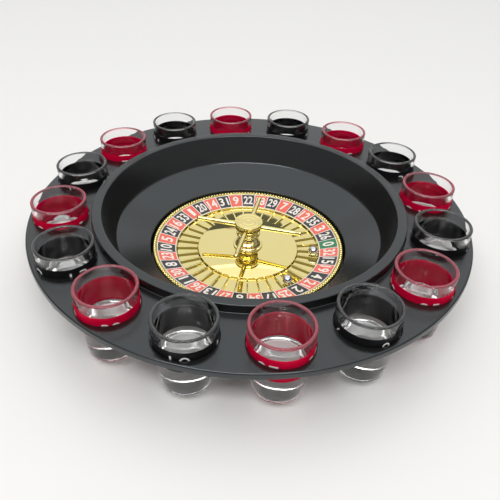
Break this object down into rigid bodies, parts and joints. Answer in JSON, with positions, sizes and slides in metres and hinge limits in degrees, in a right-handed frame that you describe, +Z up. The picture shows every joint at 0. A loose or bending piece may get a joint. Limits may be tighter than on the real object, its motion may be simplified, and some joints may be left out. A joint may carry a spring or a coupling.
{
  "type": "drinking roulette wheel",
  "caption": "Round moulded tray with a spinning number wheel in its bowl, a turret with crossed arms, loose steel balls and a ring of shot glasses hanging in its flange.",
  "frame": {"origin": "centre of the tray's flat base, on the surface that it stands on", "axes": "+Z up along the wheel's spindle; -Y towards the player, +X to their right"},
  "size_m": [0.29, 0.29, 0.0515],
  "materials": {
    "black_plastic": "moulded, satin gloss",
    "red_banded_glass": "clear glass with a printed red band",
    "black_banded_glass": "clear glass with a printed black band",
    "gold_plating": "vacuum-metallised mirror gold",
    "printed_label": "printed satin label, red and black cells with white numbers",
    "brass": "turned",
    "steel": "turned",
    "nylon": "moulded, matte",
    "polished_steel": "polished bearing ball"
  },
  "bodies": {
    "tray": {"tray": "black_plastic", "spindle": "steel", "thrust_washer": "nylon", "retaining_clip": "steel"},
    "wheel": {"wheel_rotor": "gold_plating", "number_ring": "printed_label", "rotor_bush": "brass", "turret_base": "gold_plating", "turret_stem": "gold_plating", "turret_cross": "gold_plating", "turret_cap": "gold_plating"},
    "ball_1": {"ball_1": "polished_steel"},
    "ball_2": {"ball_2": "polished_steel"},
    "shot_glass_01": {"shot_glass_01": "red_banded_glass"},
    "shot_glass_02": {"shot_glass_02": "black_banded_glass"},
    "shot_glass_03": {"shot_glass_03": "red_banded_glass"},
    "shot_glass_04": {"shot_glass_04": "black_banded_glass"},
    "shot_glass_05": {"shot_glass_05": "red_banded_glass"},
    "shot_glass_06": {"shot_glass_06": "black_banded_glass"},
    "shot_glass_07": {"shot_glass_07": "red_banded_glass"},
    "shot_glass_08": {"shot_glass_08": "black_banded_glass"},
    "shot_glass_09": {"shot_glass_09": "red_banded_glass"},
    "shot_glass_10": {"shot_glass_10": "black_banded_glass"},
    "shot_glass_11": {"shot_glass_11": "red_banded_glass"},
    "shot_glass_12": {"shot_glass_12": "black_banded_glass"},
    "shot_glass_13": {"shot_glass_13": "red_banded_glass"},
    "shot_glass_14": {"shot_glass_14": "black_banded_glass"},
    "shot_glass_15": {"shot_glass_15": "red_banded_glass"},
    "shot_glass_16": {"shot_glass_16": "black_banded_glass"}
  },
  "joints": [
    {"name": "wheel_spin", "type": "hinge", "parent": "tray", "child": "wheel", "pos_m": [0, 0, 0.01], "axis": [0, 0, 1], "continuous": true},
    {"name": "shot_glass_01_lift", "type": "slide", "parent": "tray", "child": "shot_glass_01", "axis": [0, 0, 1], "range_m": [0, 0.06]},
    {"name": "shot_glass_02_lift", "type": "slide", "parent": "tray", "child": "shot_glass_02", "axis": [0, 0, 1], "range_m": [0, 0.06]},
    {"name": "shot_glass_03_lift", "type": "slide", "parent": "tray", "child": "shot_glass_03", "axis": [0, 0, 1], "range_m": [0, 0.06]},
    {"name": "shot_glass_04_lift", "type": "slide", "parent": "tray", "child": "shot_glass_04", "axis": [0, 0, 1], "range_m": [0, 0.06]},
    {"name": "shot_glass_05_lift", "type": "slide", "parent": "tray", "child": "shot_glass_05", "axis": [0, 0, 1], "range_m": [0, 0.06]},
    {"name": "shot_glass_06_lift", "type": "slide", "parent": "tray", "child": "shot_glass_06", "axis": [0, 0, 1], "range_m": [0, 0.06]},
    {"name": "shot_glass_07_lift", "type": "slide", "parent": "tray", "child": "shot_glass_07", "axis": [0, 0, 1], "range_m": [0, 0.06]},
    {"name": "shot_glass_08_lift", "type": "slide", "parent": "tray", "child": "shot_glass_08", "axis": [0, 0, 1], "range_m": [0, 0.06]},
    {"name": "shot_glass_09_lift", "type": "slide", "parent": "tray", "child": "shot_glass_09", "axis": [0, 0, 1], "range_m": [0, 0.06]},
    {"name": "shot_glass_10_lift", "type": "slide", "parent": "tray", "child": "shot_glass_10", "axis": [0, 0, 1], "range_m": [0, 0.06]},
    {"name": "shot_glass_11_lift", "type": "slide", "parent": "tray", "child": "shot_glass_11", "axis": [0, 0, 1], "range_m": [0, 0.06]},
    {"name": "shot_glass_12_lift", "type": "slide", "parent": "tray", "child": "shot_glass_12", "axis": [0, 0, 1], "range_m": [0, 0.06]},
    {"name": "shot_glass_13_lift", "type": "slide", "parent": "tray", "child": "shot_glass_13", "axis": [0, 0, 1], "range_m": [0, 0.06]},
    {"name": "shot_glass_14_lift", "type": "slide", "parent": "tray", "child": "shot_glass_14", "axis": [0, 0, 1], "range_m": [0, 0.06]},
    {"name": "shot_glass_15_lift", "type": "slide", "parent": "tray", "child": "shot_glass_15", "axis": [0, 0, 1], "range_m": [0, 0.06]},
    {"name": "shot_glass_16_lift", "type": "slide", "parent": "tray", "child": "shot_glass_16", "axis": [0, 0, 1], "range_m": [0, 0.06]},
    {"name": "ball_1_lift", "type": "slide", "parent": "wheel", "child": "ball_1", "axis": [0, 0, 1], "range_m": [0, 0.05]},
    {"name": "ball_2_lift", "type": "slide", "parent": "wheel", "child": "ball_2", "axis": [0, 0, 1], "range_m": [0, 0.05]}
  ]
}
